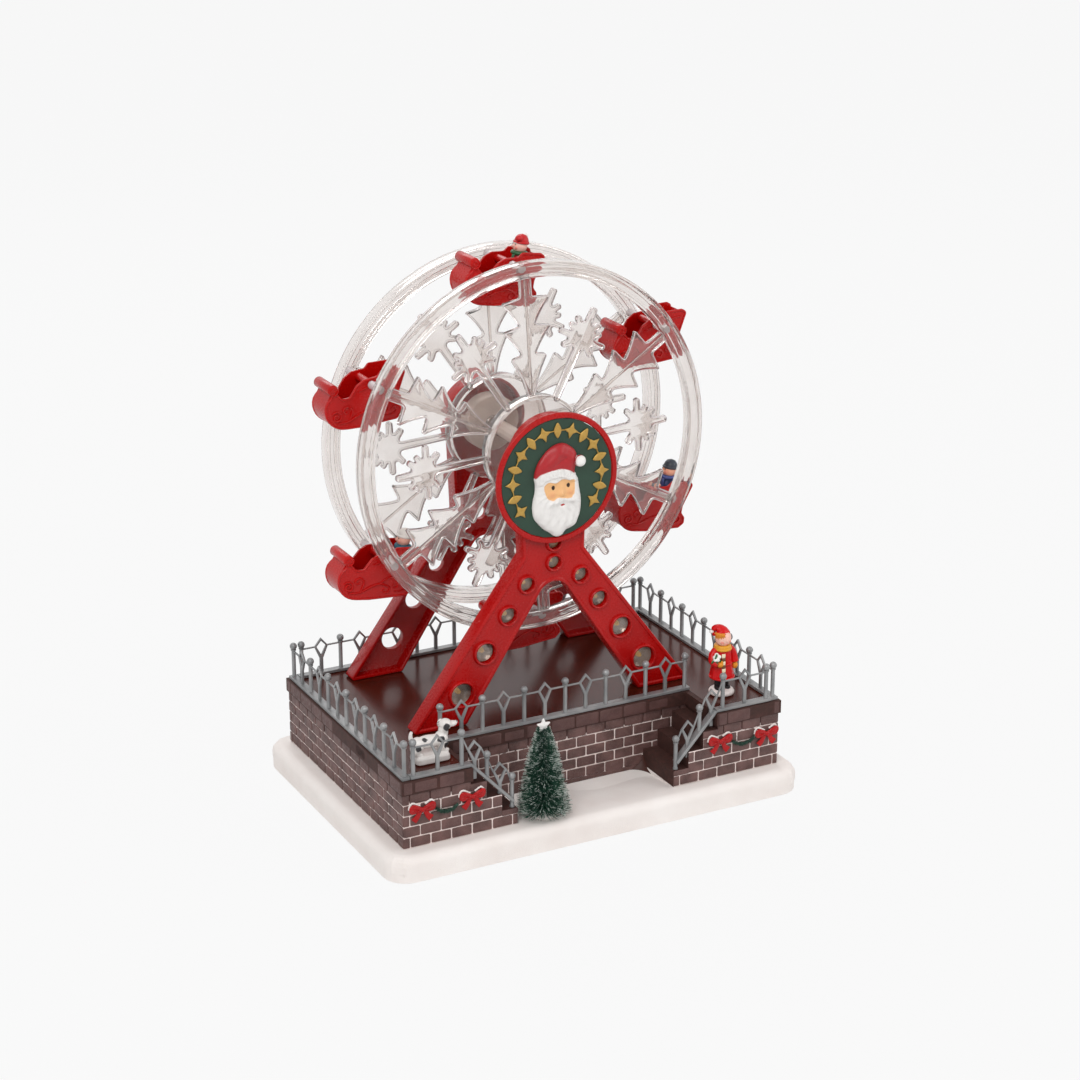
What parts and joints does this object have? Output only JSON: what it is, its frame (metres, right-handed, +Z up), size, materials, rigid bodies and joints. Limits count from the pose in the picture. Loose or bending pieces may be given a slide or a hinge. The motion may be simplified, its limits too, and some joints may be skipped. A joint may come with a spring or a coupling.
{
  "type": "musical ferris wheel ornament",
  "caption": "Battery-driven tabletop ferris wheel on a brick plinth: clear wheel discs carry hanging sleighs between two A-frames above a snow base.",
  "frame": {"origin": "bottom centre of the snow base, on the surface it stands on", "axes": "+X to the right seen from the front, +Y to the back along the wheel axle, +Z up"},
  "size_m": [0.285, 0.2, 0.3543],
  "materials": {
    "snow": "satin white resin",
    "brick": "painted moulded brick",
    "deck": "glossy dark brown",
    "fence": "pewter grey paint",
    "red": "glossy red",
    "clear": "clear moulded",
    "green": "satin dark green",
    "gold": "gold paint",
    "white": "satin white",
    "cream": "satin beige",
    "steel": "drawn rod",
    "black": "moulded black",
    "board": "solder mask",
    "pine": "dyed bristle",
    "brass": "bright",
    "cell": "printed sleeve, plain"
  },
  "bodies": {
    "base": {"snow_base": "snow", "brick_plinth": "brick", "deck_plate": "deck", "battery_box": "black", "loudspeaker": "black", "circuit_board": "board", "switch_body": "black", "front_frame": "red", "back_frame": "red", "front_lamp_panel": "clear", "back_lamp_panel": "clear", "medallion_rim": "red", "medallion_disc": "green", "medallion_ornament": "gold", "medallion_head": "white", "gear_housing": "cream", "drive_motor": "steel", "tree_stem": "steel", "tree_star": "white", "child_figure": "red", "dog_figure": "white", "battery_contact_left": "brass", "battery_contact_right": "brass", "fence_centre": "fence", "fence_left": "fence", "fence_right": "fence", "fence_back": "fence", "fence_stair_left": "fence", "fence_stair_right": "fence", "battery_cell_1": "cell", "battery_cell_2": "cell", "battery_cell_3": "cell", "tree_brush_1": "pine", "bow_1": "red", "tree_brush_2": "pine", "bow_2": "red", "tree_brush_3": "pine", "bow_3": "red", "tree_brush_4": "pine", "bow_4": "red", "garland_1": "pine", "garland_2": "pine"},
    "wheel": {"wheel_disc_front": "clear", "wheel_disc_back": "clear", "axle": "steel", "hub_spacer": "white", "wheel_gear": "cream"},
    "pinion": {"motor_pinion": "brass"},
    "switch": {"switch_knob": "black"},
    "door": {"battery_door": "white"},
    "carriage_1": {"sleigh_1": "red"},
    "carriage_2": {"sleigh_2": "red", "rider_2": "red"},
    "carriage_3": {"sleigh_3": "red"},
    "carriage_4": {"sleigh_4": "red", "rider_4": "red"},
    "carriage_5": {"sleigh_5": "red"},
    "carriage_6": {"sleigh_6": "red", "rider_6": "red"}
  },
  "joints": [
    {"name": "wheel_spin", "type": "hinge", "parent": "base", "child": "wheel", "pos_m": [0, 0.0215, 0.2235], "axis": [0, 1, 0], "continuous": true},
    {"name": "pinion_spin", "type": "hinge", "parent": "base", "child": "pinion", "pos_m": [0, 0.0215, 0.2123], "axis": [0, 1, 0], "continuous": true},
    {"name": "sleigh_1_swing", "type": "hinge", "parent": "wheel", "child": "carriage_1", "pos_m": [0.0939, 0.0215, 0.28565], "axis": [0, 1, 0], "continuous": true},
    {"name": "sleigh_2_swing", "type": "hinge", "parent": "wheel", "child": "carriage_2", "pos_m": [-0.00687, 0.0215, 0.33589], "axis": [0, 1, 0], "continuous": true},
    {"name": "sleigh_3_swing", "type": "hinge", "parent": "wheel", "child": "carriage_3", "pos_m": [-0.10077, 0.0215, 0.27374], "axis": [0, 1, 0], "continuous": true},
    {"name": "sleigh_4_swing", "type": "hinge", "parent": "wheel", "child": "carriage_4", "pos_m": [-0.0939, 0.0215, 0.16135], "axis": [0, 1, 0], "continuous": true},
    {"name": "sleigh_5_swing", "type": "hinge", "parent": "wheel", "child": "carriage_5", "pos_m": [0.00687, 0.0215, 0.11111], "axis": [0, 1, 0], "continuous": true},
    {"name": "sleigh_6_swing", "type": "hinge", "parent": "wheel", "child": "carriage_6", "pos_m": [0.10077, 0.0215, 0.17326], "axis": [0, 1, 0], "continuous": true},
    {"name": "switch_slide", "type": "slide", "parent": "base", "child": "switch", "axis": [1, 0, 0], "range_m": [0, 0.006]},
    {"name": "battery_door_slide", "type": "slide", "parent": "base", "child": "door", "axis": [1, 0, 0], "range_m": [0, 0.008]}
  ],
  "couplings": [
    {"joint": "pinion_spin", "follows": "wheel_spin", "ratio": -3},
    {"joint": "sleigh_1_swing", "follows": "wheel_spin", "ratio": -1},
    {"joint": "sleigh_2_swing", "follows": "wheel_spin", "ratio": -1},
    {"joint": "sleigh_3_swing", "follows": "wheel_spin", "ratio": -1},
    {"joint": "sleigh_4_swing", "follows": "wheel_spin", "ratio": -1},
    {"joint": "sleigh_5_swing", "follows": "wheel_spin", "ratio": -1},
    {"joint": "sleigh_6_swing", "follows": "wheel_spin", "ratio": -1}
  ]
}
